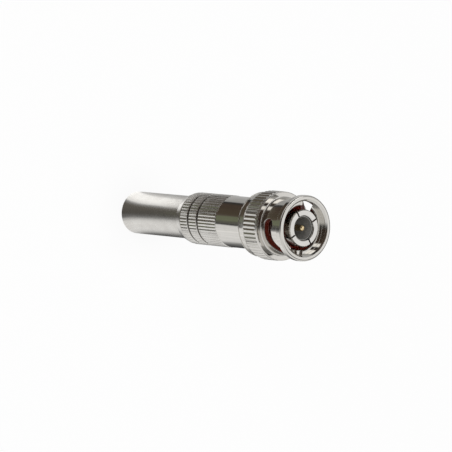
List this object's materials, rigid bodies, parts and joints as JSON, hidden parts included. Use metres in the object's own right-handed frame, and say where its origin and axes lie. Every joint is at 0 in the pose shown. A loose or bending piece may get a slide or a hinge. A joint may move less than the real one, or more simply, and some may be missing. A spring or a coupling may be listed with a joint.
{
  "type": "coaxial bayonet plug",
  "caption": "Coaxial bayonet plug with a toothed coupling nut, spring finger contact, centre pin and a long screw-on tail sleeve.",
  "frame": {"origin": "centre of the tail sleeve's end face, where the cable comes in; the plug stands on that face", "axes": "+Z along the plug's axis towards the mating mouth; -Y through one bayonet detent hole"},
  "size_m": [0.015, 0.015, 0.0586],
  "materials": {
    "polished_nickel": "polished",
    "bright_nickel": "polished",
    "satin_nickel": "satin",
    "gold": "polished",
    "spring_steel": "satin",
    "red_silicone": "matte",
    "dark_plastic": "satin",
    "white_plastic": "satin",
    "clear_plastic": "gloss"
  },
  "bodies": {
    "tail": {"tail_sleeve": "satin_nickel"},
    "insulation": {"insulating_sleeve": "clear_plastic"},
    "plug": {"outer_contact": "bright_nickel", "rear_body": "polished_nickel", "front_insulator": "dark_plastic", "rear_insulator": "white_plastic", "centre_pin": "gold", "gasket": "red_silicone", "cable_clamp": "bright_nickel", "wave_washer_front": "spring_steel"},
    "spacer": {"spacer_washer": "spring_steel", "wave_washer_rear": "spring_steel"},
    "thrust": {"thrust_washer": "spring_steel"},
    "coupling": {"coupling_nut": "polished_nickel", "retaining_ring": "spring_steel"}
  },
  "joints": [
    {"name": "sleeve_travel", "type": "slide", "parent": "tail", "child": "insulation", "axis": [0, 0, 1], "range_m": [0, 0.0066]},
    {"name": "sleeve_unscrew", "type": "hinge", "parent": "insulation", "child": "plug", "pos_m": [0, 0, 0.03145], "axis": [0, 0, 1], "range_deg": [0, 3165]},
    {"name": "coupling_slide", "type": "slide", "parent": "plug", "child": "thrust", "axis": [0, 0, 1], "range_m": [0, 0.0005], "stiffness_N_per_m": 5000, "springref_m": -0.0005},
    {"name": "spacer_slide", "type": "slide", "parent": "plug", "child": "spacer", "axis": [0, 0, 1], "range_m": [0, 0.00025], "deforming": ["wave_washer_front", "wave_washer_rear"]},
    {"name": "coupling_turn", "type": "hinge", "parent": "thrust", "child": "coupling", "pos_m": [0, 0, 0.05165], "axis": [0, 0, 1], "continuous": true}
  ],
  "couplings": [
    {"joint": "sleeve_travel", "follows": "sleeve_unscrew", "m_per_rad": 0.00011937},
    {"joint": "spacer_slide", "follows": "coupling_slide", "ratio": 0.5}
  ]
}
